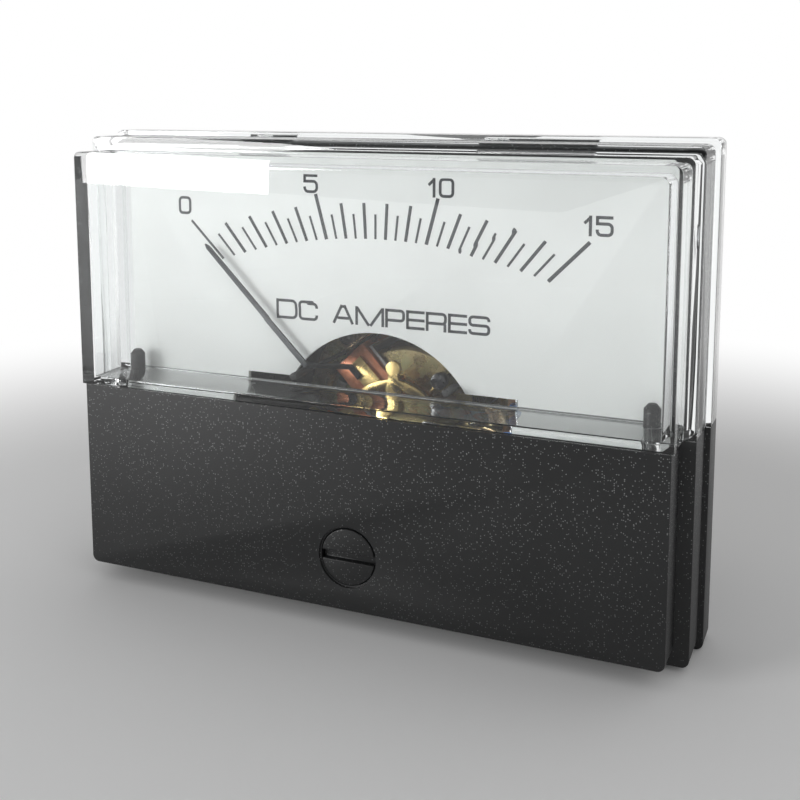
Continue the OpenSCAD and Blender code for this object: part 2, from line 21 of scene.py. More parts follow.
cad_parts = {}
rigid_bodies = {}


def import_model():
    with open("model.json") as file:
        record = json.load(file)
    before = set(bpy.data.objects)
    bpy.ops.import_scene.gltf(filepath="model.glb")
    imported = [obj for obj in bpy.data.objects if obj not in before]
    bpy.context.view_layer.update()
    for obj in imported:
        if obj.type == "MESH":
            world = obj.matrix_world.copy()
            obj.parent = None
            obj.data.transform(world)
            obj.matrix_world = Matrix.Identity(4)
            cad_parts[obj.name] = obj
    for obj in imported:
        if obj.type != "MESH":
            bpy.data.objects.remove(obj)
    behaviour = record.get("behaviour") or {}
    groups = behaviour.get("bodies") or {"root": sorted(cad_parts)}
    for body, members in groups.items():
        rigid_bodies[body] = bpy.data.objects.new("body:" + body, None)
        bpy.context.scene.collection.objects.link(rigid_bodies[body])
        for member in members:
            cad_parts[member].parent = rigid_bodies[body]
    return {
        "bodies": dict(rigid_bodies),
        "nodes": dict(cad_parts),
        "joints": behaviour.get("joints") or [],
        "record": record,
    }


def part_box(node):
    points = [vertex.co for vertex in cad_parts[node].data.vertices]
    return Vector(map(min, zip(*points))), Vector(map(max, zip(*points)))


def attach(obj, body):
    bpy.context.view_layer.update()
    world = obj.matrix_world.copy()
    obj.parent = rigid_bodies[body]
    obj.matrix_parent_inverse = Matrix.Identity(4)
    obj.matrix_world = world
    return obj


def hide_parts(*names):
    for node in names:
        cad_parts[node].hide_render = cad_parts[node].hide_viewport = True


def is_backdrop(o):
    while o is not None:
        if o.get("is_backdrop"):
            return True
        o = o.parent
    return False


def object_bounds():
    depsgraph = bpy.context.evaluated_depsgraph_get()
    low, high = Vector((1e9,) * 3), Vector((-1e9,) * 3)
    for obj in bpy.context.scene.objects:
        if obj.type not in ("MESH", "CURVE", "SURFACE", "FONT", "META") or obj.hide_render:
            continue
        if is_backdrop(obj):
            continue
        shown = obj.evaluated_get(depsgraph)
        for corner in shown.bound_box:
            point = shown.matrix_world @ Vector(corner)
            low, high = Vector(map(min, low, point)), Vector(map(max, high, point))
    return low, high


LOG = logging.getLogger("panel_meter")
MM = 0.001
NEAR = 1e-6
Colour = tuple[float, float, float]


# ---- shader building ----


class NodeBoard:
    """A node tree with short calls to add nodes and links."""

    def __init__(self, tree: bpy.types.NodeTree) -> None:
        """Wrap a tree.

        Args:
            tree: The node tree that the calls add to.
        """
        self.tree = tree

    def add(self, kind: str, **inputs: object) -> bpy.types.Node:
        """Add a node and set or link its inputs.

        Args:
            kind: The node's type name, such as ShaderNodeMath.
            **inputs: Socket values by name, with spaces as underscores, or sockets to link. A name that starts
                with set_ is a property of the node, and i0, i1... are inputs by number.

        Returns:
            The new node.
        """
        node = self.tree.nodes.new(kind)
        for key, value in inputs.items():
            if key.startswith("set_"):
                setattr(node, key[4:], value)
        for key, value in inputs.items():
            if key.startswith("set_"):
                continue
            socket = node.inputs[int(key[1:])] if key[0] == "i" and key[1:].isdigit() else node.inputs[
                key.replace("_", " ")]
            if isinstance(value, bpy.types.NodeSocket):
                self.tree.links.new(value, socket)
            else:
                socket.default_value = value
        return node

    def math(self, operation: str, first: object, second: object = 0.0) -> bpy.types.NodeSocket:
        """Return the result of a Math node.

        Args:
            operation: The operation's name, such as MULTIPLY.
            first: First value or socket.
            second: Second value or socket.

        Returns:
            The output socket.
        """
        node = self.add("ShaderNodeMath", set_operation=operation, i0=first, i1=second)
        return node.outputs[0]

    def ramp(self, value: bpy.types.NodeSocket, low: float, high: float, out_low: float = 0.0,
             out_high: float = 1.0) -> bpy.types.NodeSocket:
        """Return a smooth step of a value between two edges.

        Args:
            value: The socket to map.
            low: Where the step starts.
            high: Where it ends.
            out_low: Result before the step.
            out_high: Result after it.

        Returns:
            The output socket.
        """
        node = self.add("ShaderNodeMapRange", set_interpolation_type="SMOOTHSTEP", i0=value, i1=low, i2=high,
                        i3=out_low, i4=out_high)
        return node.outputs[0]

    def blend(self, factor: object, first: object, second: object) -> bpy.types.NodeSocket:
        """Return a mix of two colours.

        Args:
            factor: Share of the second colour.
            first: First colour or socket.
            second: Second colour or socket.

        Returns:
            The colour socket.
        """
        node = self.add("ShaderNodeMix", set_data_type="RGBA", set_blend_type="MIX")
        for socket, value in ((node.inputs[0], factor), (node.inputs[6], first), (node.inputs[7], second)):
            if isinstance(value, bpy.types.NodeSocket):
                self.tree.links.new(value, socket)
            elif socket.type == "RGBA":
                socket.default_value = (*value, 1.0)
            else:
                socket.default_value = value
        return node.outputs[2]

    def mix_value(self, factor: bpy.types.NodeSocket, first: bpy.types.NodeSocket,
                  second: bpy.types.NodeSocket) -> bpy.types.NodeSocket:
        """Return a mix of two values.

        Args:
            factor: Share of the second value.
            first: First socket.
            second: Second socket.

        Returns:
            The value socket.
        """
        return self.math("ADD", first, self.math("MULTIPLY", factor, self.math("SUBTRACT", second, first)))

    def placed(self, scale: Sequence[float] = (1, 1, 1)) -> bpy.types.NodeSocket:
        """Return object coordinates, scaled.

        Args:
            scale: Scale on each axis.

        Returns:
            The vector socket.
        """
        place = self.add("ShaderNodeTexCoord")
        node = self.add("ShaderNodeMapping", Vector=place.outputs["Object"], Scale=tuple(scale))
        return node.outputs[0]


class SurfaceEffects:
    """Node groups that several finishes share. Each puts out masks and heights only."""

    def __init__(self) -> None:
        """Build the groups once."""
        self.grain = self._grain()
        self.specks = self._specks()
        self.streaks = self._streaks()
        self.mottle = self._mottle()

    @staticmethod
    def _group(name: str, inputs: dict[str, float], outputs: Iterable[str]) -> tuple[
            bpy.types.NodeTree, NodeBoard, bpy.types.Node, bpy.types.Node]:
        """Start a group with a Vector input and float sockets.

        Args:
            name: The group's name.
            inputs: Float inputs with their defaults.
            outputs: Float outputs.

        Returns:
            The tree, its board, and its input and output nodes.
        """
        tree = bpy.data.node_groups.new(name, "ShaderNodeTree")
        tree.interface.new_socket("Vector", in_out="INPUT", socket_type="NodeSocketVector")
        for label, value in inputs.items():
            tree.interface.new_socket(label, in_out="INPUT", socket_type="NodeSocketFloat").default_value = value
        for label in outputs:
            tree.interface.new_socket(label, in_out="OUTPUT", socket_type="NodeSocketFloat")
        board = NodeBoard(tree)
        return tree, board, board.add("NodeGroupInput"), board.add("NodeGroupOutput")

    def _grain(self) -> bpy.types.NodeTree:
        """Fine moulded or cast grain: a height and a slow variation."""
        tree, board, start, end = self._group("fine_grain", {"Scale": 3000.0, "Slow": 120.0}, ("Height", "Drift"))
        fine = board.add("ShaderNodeTexNoise", Vector=start.outputs[0], Scale=start.outputs[1], Detail=3.0,
                         Roughness=0.6)
        slow = board.add("ShaderNodeTexNoise", Vector=start.outputs[0], Scale=start.outputs[2], Detail=2.0)
        tree.links.new(fine.outputs[0], end.inputs[0])
        tree.links.new(board.ramp(slow.outputs[0], 0.3, 0.7), end.inputs[1])
        return tree

    def _specks(self) -> bpy.types.NodeTree:
        """Sparse round specks, which the mouldings use as painted glints: painted highlights on their texture."""
        tree, board, start, end = self._group("specks", {"Scale": 1500.0, "Radius": 0.2, "Density": 0.3}, ("Mask",))
        cells = board.add("ShaderNodeTexVoronoi", Vector=start.outputs[0], Scale=start.outputs[1])
        dot = board.math("LESS_THAN", cells.outputs["Distance"], start.outputs[2])
        lottery = board.add("ShaderNodeSeparateColor", Color=cells.outputs["Color"])
        chosen = board.math("LESS_THAN", lottery.outputs[0], start.outputs[3])
        tree.links.new(board.math("MULTIPLY", dot, chosen), end.inputs[0])
        return tree

    def _streaks(self) -> bpy.types.NodeTree:
        """Fine parallel lines from a tool, read on coordinates squeezed along the cut."""
        tree, board, start, end = self._group("tool_streaks", {"Scale": 2500.0}, ("Height", "Shine"))
        lines = board.add("ShaderNodeTexNoise", Vector=start.outputs[0], Scale=start.outputs[1], Detail=4.0,
                          Roughness=0.7)
        wide = board.math("MULTIPLY", start.outputs[1], 0.15)
        slow = board.add("ShaderNodeTexNoise", Vector=start.outputs[0], Scale=wide, Detail=1.0)
        tree.links.new(lines.outputs[0], end.inputs[0])
        tree.links.new(board.ramp(slow.outputs[0], 0.25, 0.75), end.inputs[1])
        return tree

    def _mottle(self) -> bpy.types.NodeTree:
        """Cloudy patches, as of a passivated or tarnished coat."""
        tree, board, start, end = self._group("mottle", {"Scale": 300.0}, ("Patch", "Tint"))
        first = board.add("ShaderNodeTexNoise", Vector=start.outputs[0], Scale=start.outputs[1], Detail=4.0,
                          Roughness=0.65)
        half = board.math("MULTIPLY", start.outputs[1], 0.4)
        second = board.add("ShaderNodeTexNoise", Vector=start.outputs[0], Scale=half, Detail=2.0)
        tree.links.new(board.ramp(first.outputs[0], 0.35, 0.65), end.inputs[0])
        tree.links.new(board.ramp(second.outputs[0], 0.35, 0.65), end.inputs[1])
        return tree


@dataclass(frozen=True)
class Finish:
    """What every finish shares.

    Attributes:
        name: Material name.
        colour: Main colour.
        roughness: Mean roughness.
    """

    name: str
    colour: Colour
    roughness: float

    def _start(self) -> tuple[bpy.types.Material, NodeBoard, bpy.types.Node]:
        """Make an empty material with a Principled shader.

        Returns:
            The material, its board and the shader.
        """
        material = bpy.data.materials.new(self.name)
        material.use_nodes = True
        material.diffuse_color = (*self.colour, 1.0)
        material.node_tree.nodes.clear()
        board = NodeBoard(material.node_tree)
        shader = board.add("ShaderNodeBsdfPrincipled", Base_Color=(*self.colour, 1.0), Roughness=self.roughness)
        output = board.add("ShaderNodeOutputMaterial")
        board.tree.links.new(shader.outputs[0], output.inputs[0])
        return material, board, shader

    @staticmethod
    def _bump(board: NodeBoard, shader: bpy.types.Node, height: bpy.types.NodeSocket, depth: float,
              strength: float = 1.0) -> None:
        """Give a shader a bump.

        Args:
            board: The material's board.
            shader: The Principled node.
            height: Height between 0 and 1.
            depth: Depth in metres.
            strength: Strength of the effect.
        """
        node = board.add("ShaderNodeBump", Strength=strength, Distance=depth, Height=height)
        board.tree.links.new(node.outputs[0], shader.inputs["Normal"])

    @staticmethod
    def _use(board: NodeBoard, group: bpy.types.NodeTree, vector: bpy.types.NodeSocket,
             **values: float) -> bpy.types.Node:
        """Place a shared effect.

        Args:
            board: The material's board.
            group: The effect.
            vector: Where it is read.
            **values: Its own input values.

        Returns:
            The group node.
        """
        node = board.add("ShaderNodeGroup", set_node_tree=group)
        board.tree.links.new(vector, node.inputs["Vector"])
        for label, value in values.items():
            node.inputs[label].default_value = value
        return node


@dataclass(frozen=True)
class ClearFinish(Finish):
    """Clear moulded styrene, which lets lamps reach what is behind it.

    Attributes:
        ior: Index of refraction.
        shadow: Colour of the light that a wall lets past.
        ripple: Depth in metres of the faint flow marks.
    """

    ior: float = 1.59
    shadow: Colour = (0.93, 0.94, 0.94)
    ripple: float = 0.000004

    def make(self, effects: SurfaceEffects) -> bpy.types.Material:
        """Return the material.

        Args:
            effects: The shared node groups.
        """
        material, board, shader = self._start()
        shader.inputs["Transmission Weight"].default_value = 1.0
        shader.inputs["IOR"].default_value = self.ior
        flow = self._use(board, effects.grain, board.placed(), Scale=180.0, Slow=60.0)
        self._bump(board, shader, flow.outputs["Height"], self.ripple, 0.06)
        path = board.add("ShaderNodeLightPath")
        open_way = board.add("ShaderNodeBsdfTransparent", Color=(*self.shadow, 1.0))
        mix = board.add("ShaderNodeMixShader", i0=path.outputs["Is Shadow Ray"], i1=shader.outputs[0],
                        i2=open_way.outputs[0])
        output = next(node for node in board.tree.nodes if node.type == "OUTPUT_MATERIAL")
        board.tree.links.new(mix.outputs[0], output.inputs[0])
        return material


@dataclass(frozen=True)
class MouldingFinish(Finish):
    """Opaque moulded plastic with a fine spark-eroded texture and a few bright specks of painted highlight,
    stronger towards the top.

    Attributes:
        specks: Share of the cells that hold a speck.
        depth: Depth of the texture in metres.
        speck_cells: Cells per metre.
        speck_radius: A speck's radius as a share of its cell.
        glint_colour: Colour of the specks, a painted highlight.
        glint_rise: Height where the painted glints start to strengthen, height where they are strongest, and both
            strengths.
    """

    specks: float = 0.25
    depth: float = 0.00003
    speck_cells: float = 3600.0
    speck_radius: float = 0.3
    # Colour and height ramp of the painted glints, bright specks painted in as highlights on the texture.
    glint_colour: Colour = (0.42, 0.43, 0.43)
    glint_rise: tuple[float, float, float, float] = (-0.036, -0.004, 0.16, 0.5)

    def make(self, effects: SurfaceEffects) -> bpy.types.Material:
        """Return the material.

        Args:
            effects: The shared node groups.
        """
        material, board, shader = self._start()
        place = board.placed()
        grain = self._use(board, effects.grain, place, Scale=3800.0, Slow=90.0)
        specks = self._use(board, effects.specks, place, Scale=self.speck_cells, Radius=self.speck_radius,
                           Density=self.specks)
        pale = tuple(min(1.0, channel * 1.15 + 0.001) for channel in self.colour)
        body = board.blend(grain.outputs["Drift"], self.colour, pale)
        # Painted glints: bright specks standing in for highlights, blended in more strongly towards the top.
        height = board.add("ShaderNodeSeparateXYZ", Vector=place)
        rise = board.ramp(height.outputs["Z"], *self.glint_rise)
        tint = board.blend(board.math("MULTIPLY", specks.outputs["Mask"], rise), body, self.glint_colour)
        board.tree.links.new(tint, shader.inputs["Base Color"])
        rough = board.math("ADD", board.math("MULTIPLY", grain.outputs["Height"], 0.16), self.roughness - 0.08)
        board.tree.links.new(rough, shader.inputs["Roughness"])
        self._bump(board, shader, grain.outputs["Height"], self.depth, 0.8)
        return material


@dataclass(frozen=True)
class EnamelFinish(Finish):
    """Sprayed enamel with faint clouding and orange peel."""

    def make(self, effects: SurfaceEffects) -> bpy.types.Material:
        """Return the material.

        Args:
            effects: The shared node groups.
        """
        material, board, shader = self._start()
        place = board.placed()
        cloud = self._use(board, effects.mottle, place, Scale=60.0)
        peel = self._use(board, effects.grain, place, Scale=1600.0, Slow=200.0)
        shade = tuple(channel * 0.965 for channel in self.colour)
        board.tree.links.new(board.blend(cloud.outputs["Patch"], self.colour, shade), shader.inputs["Base Color"])
        rough = board.math("ADD", board.math("MULTIPLY", peel.outputs["Drift"], 0.08), self.roughness - 0.04)
        board.tree.links.new(rough, shader.inputs["Roughness"])
        self._bump(board, shader, peel.outputs["Height"], 0.00001, 0.5)
        return material


@dataclass(frozen=True)
class MetalFinish(Finish):
    """Bare or plated metal with tool lines and a second, duller colour in patches."""

    dull: Colour = (0.4, 0.4, 0.4)
    patches: float = 0.35
    squeeze: tuple[float, float, float] = (1.0, 0.08, 1.0)
    scale: float = 2200.0
    depth: float = 0.000008

    def make(self, effects: SurfaceEffects) -> bpy.types.Material:
        """Return the material.

        Args:
            effects: The shared node groups.
        """
        material, board, shader = self._start()
        shader.inputs["Metallic"].default_value = 1.0
        lines = self._use(board, effects.streaks, board.placed(self.squeeze), Scale=self.scale)
        cloud = self._use(board, effects.mottle, board.placed(), Scale=350.0)
        amount = board.math("MULTIPLY", cloud.outputs["Patch"], self.patches)
        board.tree.links.new(board.blend(amount, self.colour, self.dull), shader.inputs["Base Color"])
        rough = board.math("ADD", board.math("MULTIPLY", lines.outputs["Shine"], 0.14), self.roughness - 0.07)
        board.tree.links.new(board.math("ADD", rough, board.math("MULTIPLY", amount, 0.15)),
                             shader.inputs["Roughness"])
        self._bump(board, shader, lines.outputs["Height"], self.depth, 0.6)
        return material


@dataclass(frozen=True)
class PassivateFinish(Finish):
    """Zinc plate under a yellow passivate, whose film turns from gold to green and rose."""

    green: Colour = (0.38, 0.5, 0.3)
    rose: Colour = (0.72, 0.42, 0.36)

    def make(self, effects: SurfaceEffects) -> bpy.types.Material:
        """Return the material.

        Args:
            effects: The shared node groups.
        """
        material, board, shader = self._start()
        shader.inputs["Metallic"].default_value = 1.0
        place = board.placed()
        film = self._use(board, effects.mottle, place, Scale=420.0)
        lines = self._use(board, effects.streaks, board.placed((0.1, 1.0, 1.0)), Scale=1500.0)
        green = board.blend(board.math("MULTIPLY", film.outputs["Patch"], 0.75), self.colour, self.green)
        rose = board.blend(board.math("MULTIPLY", film.outputs["Tint"], 0.55), green, self.rose)
        board.tree.links.new(rose, shader.inputs["Base Color"])
        rough = board.math("ADD", board.math("MULTIPLY", film.outputs["Patch"], 0.12), self.roughness - 0.06)
        board.tree.links.new(rough, shader.inputs["Roughness"])
        self._bump(board, shader, lines.outputs["Height"], 0.00001, 0.5)
        return material


@dataclass(frozen=True)
class LacquerFinish(Finish):
    """Glossy lacquer, varnish or enamelled wire: a coat over colour that varies along the piece."""

    second: Colour = (0.1, 0.1, 0.1)
    metallic: float = 0.0
    coat: float = 0.8
    scale: float = 600.0

    def make(self, effects: SurfaceEffects) -> bpy.types.Material:
        """Return the material.

        Args:
            effects: The shared node groups.
        """
        material, board, shader = self._start()
        shader.inputs["Metallic"].default_value = self.metallic
        shader.inputs["Coat Weight"].default_value = self.coat
        shader.inputs["Coat Roughness"].default_value = 0.08
        cloud = self._use(board, effects.mottle, board.placed(), Scale=self.scale)
        board.tree.links.new(board.blend(cloud.outputs["Patch"], self.colour, self.second),
                             shader.inputs["Base Color"])
        rough = board.math("ADD", board.math("MULTIPLY", cloud.outputs["Tint"], 0.1), self.roughness - 0.05)
        board.tree.links.new(rough, shader.inputs["Roughness"])
        grain = self._use(board, effects.grain, board.placed(), Scale=self.scale * 3, Slow=200.0)
        self._bump(board, shader, grain.outputs["Height"], 0.000008, 0.5)
        return material


class Slot(Enum):
    """The record's material slots, each with its finish."""

    CLEAR = ("clear_styrene", ClearFinish("clear_styrene", (0.96, 0.975, 0.975), 0.02))
    BLACK = ("black_moulding", MouldingFinish("black_moulding", (0.0085, 0.009, 0.0095), 0.46))
    ENAMEL = ("white_enamel", EnamelFinish("white_enamel", (0.8, 0.81, 0.795), 0.5))
    ZINC = ("zinc_plate", MetalFinish("zinc_plate", (0.72, 0.73, 0.74), 0.24, (0.5, 0.51, 0.54), 0.4))
    PASSIVATE = ("yellow_passivate", PassivateFinish("yellow_passivate", (0.72, 0.58, 0.24), 0.26))
    OXIDE = ("black_oxide", LacquerFinish("black_oxide", (0.015, 0.015, 0.018), 0.12, (0.03, 0.03, 0.035)))
    MAGNET = ("magnet_alloy", PassivateFinish("magnet_alloy", (0.42, 0.34, 0.16), 0.3, (0.25, 0.27, 0.14),
                                              (0.5, 0.36, 0.2)))
    CAST = ("die_cast", MetalFinish("die_cast", (0.72, 0.73, 0.75), 0.3, (0.55, 0.56, 0.58), 0.4))
    BRASS = ("brass", MetalFinish("brass", (0.83, 0.62, 0.26), 0.24, (0.6, 0.42, 0.17), 0.45))
    BRONZE = ("spring_bronze", MetalFinish("spring_bronze", (0.72, 0.45, 0.2), 0.25, (0.5, 0.3, 0.14), 0.4))
    SLEEVE = ("black_sleeve", MouldingFinish("black_sleeve", (0.012, 0.012, 0.012), 0.5, 0.05))
    PHENOLIC = ("phenolic", LacquerFinish("phenolic", (0.3, 0.15, 0.05), 0.4, (0.2, 0.09, 0.03), coat=0.3))
    BLUE = ("blue_lacquer", LacquerFinish("blue_lacquer", (0.03, 0.16, 0.45), 0.25, (0.02, 0.1, 0.33)))
    TINNED = ("tinned_wire", MetalFinish("tinned_wire", (0.75, 0.75, 0.76), 0.22, (0.55, 0.55, 0.57), 0.4))
    COPPER = ("copper_alloy", LacquerFinish("copper_alloy", (0.86, 0.36, 0.2), 0.3, (0.66, 0.22, 0.1), 1.0, 0.4))
    STEEL = ("hard_steel", MetalFinish("hard_steel", (0.55, 0.55, 0.57), 0.2, (0.4, 0.4, 0.42), 0.3))
    NEEDLE = ("needle_paint", EnamelFinish("needle_paint", (0.02, 0.024, 0.028), 0.45))

    def __init__(self, label: str, finish: Finish) -> None:
        """Keep the slot's name in the record and its finish."""
        self.label = label
        self.finish = finish


class Paintbox:
    """Makes each slot's material once."""

    def __init__(self) -> None:
        """Build the shared effects and every material."""
        effects = SurfaceEffects()
        self.materials = {slot: slot.finish.make(effects) for slot in Slot}
        self.print_ink = EnamelFinish("dial_ink", (0.02, 0.023, 0.028), 0.5).make(effects)

    def dress(self, obj: bpy.types.Object, slot: Slot) -> None:
        """Give an object one slot's material.

        Args:
            obj: A mesh object.
            slot: The slot.
        """
        obj.data.materials.clear()
        obj.data.materials.append(self.materials[slot])


# ---- mesh building ----


@dataclass
class Workshop:
    """Makes pieces, seats them on their bodies and keeps count.

    Attributes:
        paint: The materials.
    """

    frame: dict
    paint: Paintbox

    def body_of(self, node: str) -> str:
        """Return the body that a CAD node rides on."""
        bodies = self.frame["record"]["behaviour"]["bodies"]
        return next(body for body, nodes in bodies.items() if node in nodes)

    def slot_of(self, node: str) -> Slot:
        """Return the slot that the record gives a CAD node."""
        label = next(part["material_slot"] for part in self.frame["record"]["subparts"] if part["node"] == node)
        return next(slot for slot in Slot if slot.label == label)

    def piece(self, name: str, bm: bmesh.types.BMesh, body: str, slot: Slot, smooth_angle: float = 35.0,
              replaces: Sequence[str] = ()) -> bpy.types.Object:
        """Turn a bmesh into a finished piece on a body.

        Args:
            name: The piece's name.
            bm: Its shape, which is freed.
            body: The body it rides on.
            slot: Its material slot.
            smooth_angle: Edges sharper than this many degrees stay sharp.
            replaces: CAD nodes that it stands for.

        Returns:
            The object.
        """
        mesh = bpy.data.meshes.new(name)
        bm.to_mesh(mesh)
        bm.free()
        mesh.polygons.foreach_set("use_smooth", [True] * len(mesh.polygons))
        mesh.set_sharp_from_angle(angle=math.radians(smooth_angle))
        obj = bpy.data.objects.new(name, mesh)
        bpy.context.scene.collection.objects.link(obj)
        self.paint.dress(obj, slot)
        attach(obj, body)
        if replaces:
            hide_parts(*replaces)
        LOG.info("piece %s: %d faces on %s", name, len(mesh.polygons), body)
        return obj

    def merged(self, node: str) -> bmesh.types.BMesh:
        """Return a copy of a CAD node's mesh with its loose triangles joined and flat faces whole.

        Args:
            node: The CAD node.

        Returns:
            The copy.
        """
        bm = bmesh.new()
        bm.from_mesh(self.frame["nodes"][node].data)
        bmesh.ops.remove_doubles(bm, verts=bm.verts, dist=NEAR)
        bmesh.ops.dissolve_limit(bm, angle_limit=math.radians(0.4), use_dissolve_boundaries=False, verts=bm.verts,
                                 edges=bm.edges, delimit=set())
        return bm

    def softened(self, node: str, width_mm: float, segments: int = 2, angle: float = 30.0) -> bpy.types.Object:
        """Replace a CAD node by a copy whose edges are rounded over.

        Args:
            node: The CAD node.
            width_mm: Width of the rounding.
            segments: Faces across it.
            angle: Only edges sharper than this many degrees are rounded.

        Returns:
            The piece.
        """
        bm = self.merged(node)
        edges = [edge for edge in bm.edges if edge.is_manifold and edge.calc_face_angle() > math.radians(angle)]
        bmesh.ops.bevel(bm, geom=edges, offset=width_mm * MM, offset_type="OFFSET", segments=segments, profile=0.5,
                        affect="EDGES", clamp_overlap=True, material=-1)
        bmesh.ops.remove_doubles(bm, verts=bm.verts, dist=NEAR)
        return self.piece(f"{node}_soft", bm, self.body_of(node), self.slot_of(node), replaces=(node,))

    def plain(self, node: str) -> None:
        """Dress a CAD node as it is.

        Args:
            node: The CAD node.
        """
        obj = self.frame["nodes"][node]
        self.paint.dress(obj, self.slot_of(node))
        LOG.info("node %s dressed", node)


Move = tuple[float, ...]
Stroke = tuple[float, float, float, float, tuple[Move, ...]]


class Alphabet:
    """Square-shouldered letters and figures drawn with one pen. Sizes are in millimetres.

    A stroke is its start (x, z), its heading in degrees from +X, the pen's width and its moves: a length for a
    straight, or an angle and a radius for a bend. TALL is the height of every glyph, EDGE half a pen's width,
    ROUND the usual corner's radius and BEND_STEPS the faces round a corner.
    """

    BEND_STEPS = 8
    WIDE = {"0": 2.45, "1": 1.4, "5": 2.55, "A": 3.85, "C": 3.45, "D": 3.8, "E": 3.05, "M": 4.9, "P": 3.3,
            "R": 3.4, "S": 3.45}
    TALL = 2.95
    PEN = 0.44
    EDGE = PEN / 2
    ROUND = 0.55

    @classmethod
    def box(cls, width: float, high: float, low: float, radius: float) -> tuple[Move, ...]:
        """Return the moves round the right side of a box, from its upper left to its lower left.

        Args:
            width: Its outer width.
            high: Height of the upper stroke's middle.
            low: Height of the lower stroke's middle.
            radius: Radius of the corners.
        """
        run = width - cls.EDGE - radius
        return (run,), (-90, radius), (high - low - 2 * radius,), (-90, radius), (run,)

    @classmethod
    def glyph(cls, sign: str) -> tuple[float, list[Stroke]]:
        """Return a glyph's width and strokes.

        Args:
            sign: The letter or figure.
        """
        tall, pen, edge, bend, wide = cls.TALL, cls.PEN, cls.EDGE, cls.ROUND, cls.WIDE[sign]
        top = tall - edge

        def bar(x: float, z: float, length: float, heading: float = 90.0) -> Stroke:
            """Return one straight stroke."""
            return x, z, heading, pen, ((length,),)

        if sign == "0":
            side, across = tall - pen - 2 * bend, wide - pen - 2 * bend
            return wide, [(edge + bend, top, 0, pen, ((across,), (-90, bend), (side,), (-90, bend), (across,),
                                                       (-90, bend), (side,), (-90, bend)))]
        if sign == "1":
            return wide, [bar(wide - edge, 0, tall), bar(wide - 0.15, tall - edge, 1.3, 224)]
        if sign == "5":
            middle, tail, bowl = 0.62 * tall, 0.34 * tall, 0.6
            return wide, [bar(0, top, wide - 0.08, 0), bar(edge, tall, tall - middle + edge, -90),
                          (0, middle, 0, pen, (*cls.box(wide, middle, edge, bowl)[:-1], (wide - pen - 2 * bowl,),
                                               (-90, bowl), (tail - edge - bowl,)))]
        if sign == "D":
            return wide, [bar(edge, 0, tall), (0, top, 0, pen, cls.box(wide, top, edge, 0.75))]
        if sign == "C":
            hook = 0.16
            across, side = wide - pen - 2 * bend, tall - pen - 2 * bend
            return wide, [(wide - edge, top - bend - hook, 90, pen, (
                (hook,), (90, bend), (across,), (90, bend), (side,), (90, bend), (across,), (90, bend), (hook,)))]
        if sign == "A":
            run, foot = 1.45, 0.27
            lean, leg = math.degrees(math.atan2(tall, run)), math.hypot(tall, run)
            return wide, [bar(foot, 0.0, leg, lean), bar(wide - foot, 0.0, leg, 180 - lean),
                          bar(0.95, 0.3 * tall, 1.95, 0), bar(1.55, top, 0.75, 0)]
        if sign == "M":
            fall, run, foot = tall - edge, wide / 2 - pen, edge + 0.1
            lean, leg = math.degrees(math.atan2(fall, run)), math.hypot(fall, run)
            return wide, [bar(edge, 0, tall), bar(wide - edge, 0, tall), bar(foot, fall, leg, -lean),
                          bar(wide - foot, fall, leg, 180 + lean)]
        if sign in "PR":
            low = 0.4 * tall if sign == "P" else 0.42 * tall
            strokes = [bar(edge, 0, tall), (0, top, 0, pen, cls.box(wide, top, low, 0.5))]
            if sign == "R":
                strokes.append(bar(wide - edge - 0.08, 0, low))
            return wide, strokes
        if sign == "E":
            return wide, [bar(edge, 0, tall), *(bar(0, z, wide, 0) for z in (edge, tall / 2, top))]
        curl, hook = 0.5, 0.1
        fall, across = top - tall / 2 - 2 * curl, wide - pen - 2 * curl
        left, right = (90, curl), (-90, curl)
        return wide, [(wide - edge, top - curl - hook, 90, pen, (
            (hook,), left, (across,), left, (fall,), left, (across,), right, (fall,), right, (across,), right,
            (hook,)))]

    @classmethod
    def draw(cls, bm: bmesh.types.BMesh, stroke: Stroke, left: float, base: float) -> None:
        """Draw one stroke as a flat ribbon.

        Args:
            bm: The mesh it joins.
            stroke: The stroke.
            left: The glyph's left edge.
            base: Height of its baseline.
        """
        x, z, heading, pen, moves = stroke
        at = Vector((left + x, base + z, 0))
        way = Vector((math.cos(math.radians(heading)), math.sin(math.radians(heading)), 0))
        side = Vector((-way.y, way.x, 0))
        first = bmesh.ops.create_vert(bm, co=at - side * pen / 2)["vert"][0]
        grown = bmesh.ops.extrude_vert_indiv(bm, verts=[first])
        bmesh.ops.translate(bm, verts=grown["verts"], vec=side * pen)
        front = [first, *grown["verts"], *grown["edges"]]
        for move in moves:
            if len(move) == 1:
                grown = bmesh.ops.extrude_edge_only(
                    bm, edges=[item for item in front if isinstance(item, bmesh.types.BMEdge)])["geom"]
                front = [item for item in grown if not isinstance(item, bmesh.types.BMFace)]
                bmesh.ops.translate(bm, verts=[item for item in front if isinstance(item, bmesh.types.BMVert)],
                                    vec=way * move[0])
                at = at + way * move[0]
                continue
            angle, radius = math.radians(move[0]), move[1]
            centre = at + side * math.copysign(radius, angle)
            front = bmesh.ops.spin(bm, geom=front, cent=centre, axis=(0, 0, 1), dvec=(0, 0, 0), angle=angle,
                                   steps=cls.BEND_STEPS, use_duplicate=False)["geom_last"]
            turn = Matrix.Rotation(angle, 3, "Z")
            at = centre + turn @ (at - centre)
            way = turn @ way
            side = turn @ side


# ---- sub-assemblies ----


@dataclass
class Case:
    """The window, the mask and the base.

    Attributes:
        edge_mm: Rounding on the outer edges.
    """

    edge_mm: float = 0.3

    def build(self, shop: Workshop) -> None:
        """Build the case.

        Args:
            shop: Where pieces are made.
        """
        shop.softened("window_cover", self.edge_mm, 3)
        shop.softened("lower_mask", self.edge_mm, 3)
        shop.softened("base_housing", self.edge_mm, 2)


